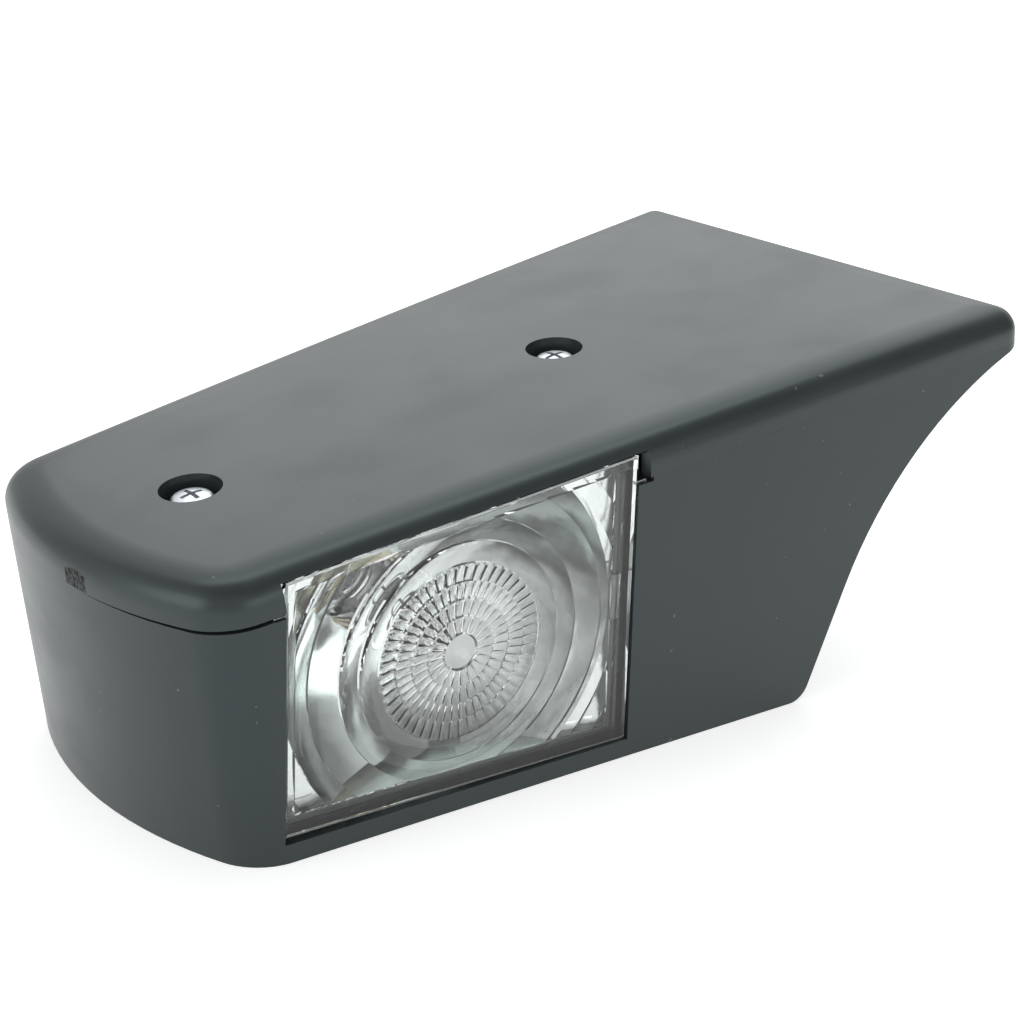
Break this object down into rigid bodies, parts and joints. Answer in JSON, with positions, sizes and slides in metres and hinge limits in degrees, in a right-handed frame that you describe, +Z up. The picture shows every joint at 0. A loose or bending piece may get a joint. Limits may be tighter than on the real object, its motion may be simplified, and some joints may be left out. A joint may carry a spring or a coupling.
{
  "type": "roof marker light",
  "caption": "Wedge-shaped roof marker light with a clear ringed lens in its front wall, a silvered reflector and bulb behind it, and a screwed sloping cover.",
  "frame": {"origin": "centre of the light's bounding box in plan, on the flat base", "axes": "+X along the light from the bowed nose to the swept tail, -Y towards the wall that holds the lens, +Z up from the roof"},
  "size_m": [0.2011, 0.1128, 0.0796],
  "materials": {
    "housing_plastic": "black moulded plastic, satin",
    "cover_plastic": "black moulded plastic, satin, faint grain",
    "seal_rubber": "black foam or moulded rubber",
    "clear_plastic": "clear moulded plastic, polished",
    "silvered_plastic": "vacuum-metallised plastic",
    "plated_brass": "nickel-plated or plain brass sheet",
    "plain_brass": "turned brass",
    "laminate": "brown paper laminate",
    "spring_steel": "bright spring wire",
    "zinc_steel": "bright zinc plate",
    "bulb_glass": "clear blown glass",
    "black_glass": "black cap glass, held as a gloss solid",
    "filament_wire": "tungsten wire",
    "solder": "tinned solder dome"
  },
  "bodies": {
    "root": {"housing": "housing_plastic", "top_cover": "cover_plastic", "cover_gasket": "seal_rubber", "lens": "clear_plastic", "lens_gasket": "seal_rubber", "reflector": "silvered_plastic", "holder_shell": "plated_brass", "holder_insulator": "laminate", "contact_plunger": "plated_brass", "contact_spring": "spring_steel", "live_terminal": "plated_brass", "earth_terminal": "plated_brass", "bulb_glass": "bulb_glass", "bulb_filament": "filament_wire", "bulb_cap": "plated_brass", "bulb_insulator": "black_glass", "bulb_contact": "solder", "nose_screw": "zinc_steel", "tail_screw": "zinc_steel", "nose_washer": "zinc_steel", "tail_washer": "zinc_steel", "nose_insert": "plain_brass", "tail_insert": "plain_brass", "nose_sleeve": "zinc_steel", "tail_sleeve": "zinc_steel", "cable_grommet": "seal_rubber", "base_gasket": "seal_rubber"}
  },
  "joints": []
}
